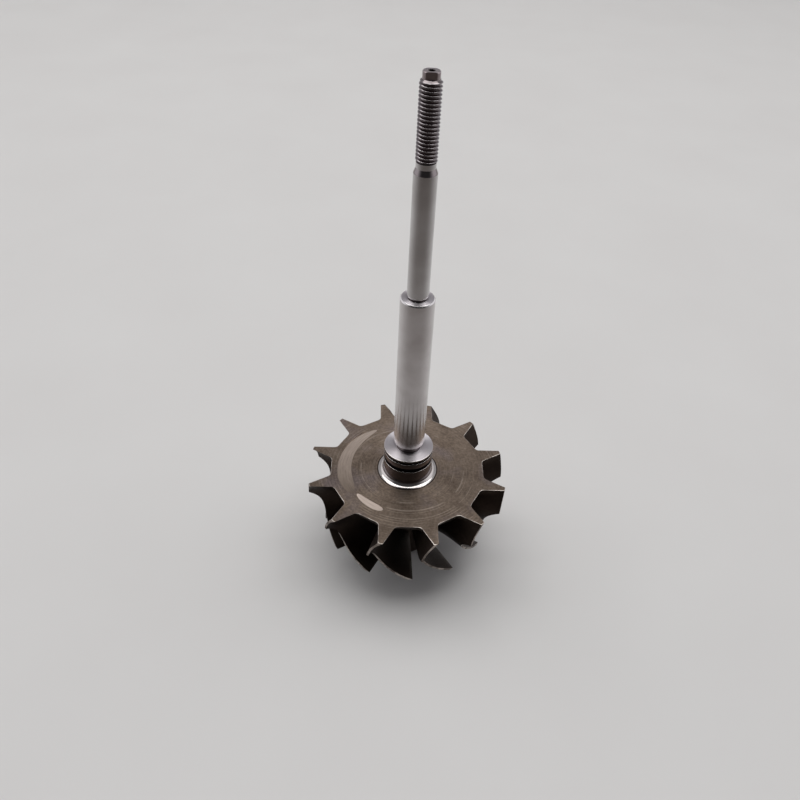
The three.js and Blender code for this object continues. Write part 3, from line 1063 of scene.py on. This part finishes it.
# the crest's start is its share of a turn at height 0, so that a crest comes to the front at front_crest
tree = bpy.data.node_groups.new("rolled_thread", "GeometryNodeTree")
thread_inputs = give_inputs(tree, (
    ("Geometry", "NodeSocketGeometry", None),
    ("Around", "NodeSocketInt", thread_segments),
    ("Rows", "NodeSocketInt", round((thread_top - stub_end) / thread_pitch * rows_per_pitch)),
    ("Foot", "NodeSocketFloat", stub_end),
    ("Head", "NodeSocketFloat", thread_top),
    ("Pitch", "NodeSocketFloat", thread_pitch),
    ("Crest Start", "NodeSocketFloat", 0.25 - front_crest / thread_pitch),
    ("Crest Flat", "NodeSocketFloat", crest_flat),
    ("Root Flat", "NodeSocketFloat", root_flat),
    ("Crest Radius", "NodeSocketFloat", thread_radius),
    ("Root Radius", "NodeSocketFloat", thread_root_radius),
    ("Head Chamfer", "NodeSocketFloat", thread_top - head_chamfer),
    ("Head Radius", "NodeSocketFloat", head_radius),
    ("Neck Top", "NodeSocketFloat", neck_top),
    ("Neck Radius", "NodeSocketFloat", neck_radius),
    ("Foot Chamfer", "NodeSocketFloat", neck_top + foot_chamfer),
    ("Run-out Radius", "NodeSocketFloat", run_out_radius),
    ("Thread Skin", "NodeSocketMaterial", thread_steel),
    ("Neck Skin", "NodeSocketMaterial", stub_steel),
))
given = add(tree, "NodeGroupInput").outputs
bar = add(
    tree, "GeometryNodeMeshCylinder",
    {"Vertices": given["Around"], "Side Segments": given["Rows"], "Radius": 1.0, "Depth": 1.0},
    fill_type="TRIANGLE_FAN",
)
position = add(tree, "GeometryNodeInputPosition").outputs[0]
spot = add(tree, "ShaderNodeSeparateXYZ", {0: position}).outputs
height = add(
    tree, "ShaderNodeMapRange",
    {0: spot["Z"], 1: -0.5, 2: 0.5, 3: given["Foot"], 4: given["Head"]},
).outputs[0]
bearing = add(tree, "ShaderNodeMath", {0: spot["Y"], 1: spot["X"]}, operation="ARCTAN2").outputs[0]
turns = add(
    tree, "ShaderNodeMath",
    {0: bearing, 1: 1 / (2 * math.pi), 2: given["Crest Start"]},
    operation="MULTIPLY_ADD",
).outputs[0]
climb = add(tree, "ShaderNodeMath", {0: height, 1: given["Pitch"]}, operation="DIVIDE").outputs[0]
phase = add(tree, "ShaderNodeMath", {0: climb, 1: turns}, operation="ADD").outputs[0]
from_crest = add(tree, "ShaderNodeMath", {0: phase, 1: 0.5}, operation="PINGPONG").outputs[0]
form = add(
    tree, "ShaderNodeMapRange",
    {
        0: from_crest,
        1: given["Crest Flat"],
        2: given["Root Flat"],
        3: given["Crest Radius"],
        4: given["Root Radius"],
    },
).outputs[0]
head_cone = add(
    tree, "ShaderNodeMapRange",
    {
        0: height,
        1: given["Head Chamfer"],
        2: given["Head"],
        3: given["Run-out Radius"],
        4: given["Head Radius"],
    },
).outputs[0]
foot_cone = add(
    tree, "ShaderNodeMapRange",
    {
        0: height,
        1: given["Neck Top"],
        2: given["Foot Chamfer"],
        3: given["Root Radius"],
        4: given["Run-out Radius"],
    },
).outputs[0]
ridge = form
for cone in (head_cone, foot_cone):
    ridge = add(tree, "ShaderNodeMath", {0: ridge, 1: cone}, operation="MINIMUM").outputs[0]
neck_share = add(tree, "ShaderNodeMath", {0: height, 1: given["Neck Top"]}, operation="LESS_THAN").outputs[0]
neck = add(tree, "ShaderNodeMath", {0: neck_share, 1: given["Neck Radius"]}, operation="MULTIPLY").outputs[0]
wide = add(tree, "ShaderNodeMath", {0: ridge, 1: neck}, operation="MAXIMUM").outputs[0]
across = add(tree, "ShaderNodeCombineXYZ", {0: wide, 1: wide}).outputs[0]
along = add(tree, "ShaderNodeCombineXYZ", {2: height}).outputs[0]
placed = add(
    tree, "ShaderNodeVectorMath",
    {0: position, 1: across, 2: along},
    operation="MULTIPLY_ADD",
)
in_metres = add(tree, "ShaderNodeVectorMath", {0: placed.outputs[0], "Scale": MM}, operation="SCALE")
threaded = add(
    tree, "GeometryNodeSetPosition",
    {"Geometry": bar.outputs["Mesh"], "Position": in_metres.outputs[0]},
)
real = add(tree, "GeometryNodeRealizeInstances", {0: threaded.outputs[0]})
rolled = add(
    tree, "GeometryNodeSetMaterial",
    {"Geometry": real.outputs[0], "Material": given["Thread Skin"]},
)
neck_top_metres = add(tree, "ShaderNodeMath", {0: given["Neck Top"], 1: MM}, operation="MULTIPLY").outputs[0]
on_neck = add(tree, "FunctionNodeCompare", {0: spot["Z"], 1: neck_top_metres}, operation="LESS_THAN")
dressed = add(
    tree, "GeometryNodeSetMaterial",
    {"Geometry": rolled.outputs[0], "Selection": on_neck.outputs[0], "Material": given["Neck Skin"]},
)
add(tree, "NodeGroupOutput", {0: dressed.outputs[0]})
thread = place_mesh("nut_thread", bpy.data.meshes.new("nut_thread"))
grow(thread, tree, thread_inputs)
finish_surface(thread.data, steel_sharp_angle)
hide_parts("threaded_end")
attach(thread, "root")


# Driving tip: the end of the bar above the thread, with two milled flats to hold the shaft by.
# The small centre hole in its end was used when the shaft was turned and ground; it is painted dark with
# shade.
# Milled steel is greyer and duller than the turned bar.
milled_steel = steel("milled_steel", "a39a9c", 0.27, 0.0, 0.4, 0.003)
tip_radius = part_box("driving_tip")[1].x / MM
tip_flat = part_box("driving_tip")[1].y / MM
tip_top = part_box("driving_tip")[1].z / MM
tip_chamfer = 0.2
milled_edge = 0.06
milled_sharp_angle = 25
hole_mouth_radius = 0.95
hole_radius = 0.85
hole_depth = 1.7
tip = lathe("driving_tip_milled", [
    (0, thread_top, 0),
    (tip_radius, thread_top, 0),
    (tip_radius, tip_top - tip_chamfer, milled_edge),
    (tip_radius - tip_chamfer, tip_top, milled_edge),
    (hole_mouth_radius, tip_top, 0.05),
    (hole_radius, tip_top - 2 * (hole_mouth_radius - hole_radius), 0),
    (hole_radius, tip_top - hole_depth, 0),
    (0, tip_top - hole_depth - hole_radius / 2, 0),
], milled_steel, milled_steel)


def in_centre_hole(middle, normal):
    return middle.z > thread_top and middle.xy.length < hole_mouth_radius


# painted shade inside the centre hole
reskin(tip, shaded_groove_steel, in_centre_hole)
for vertex in tip.data.vertices:
    vertex.co.y = min(max(vertex.co.y, -tip_flat * MM), tip_flat * MM)
finish_surface(tip.data, milled_sharp_angle)
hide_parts("driving_tip")
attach(tip, "root")
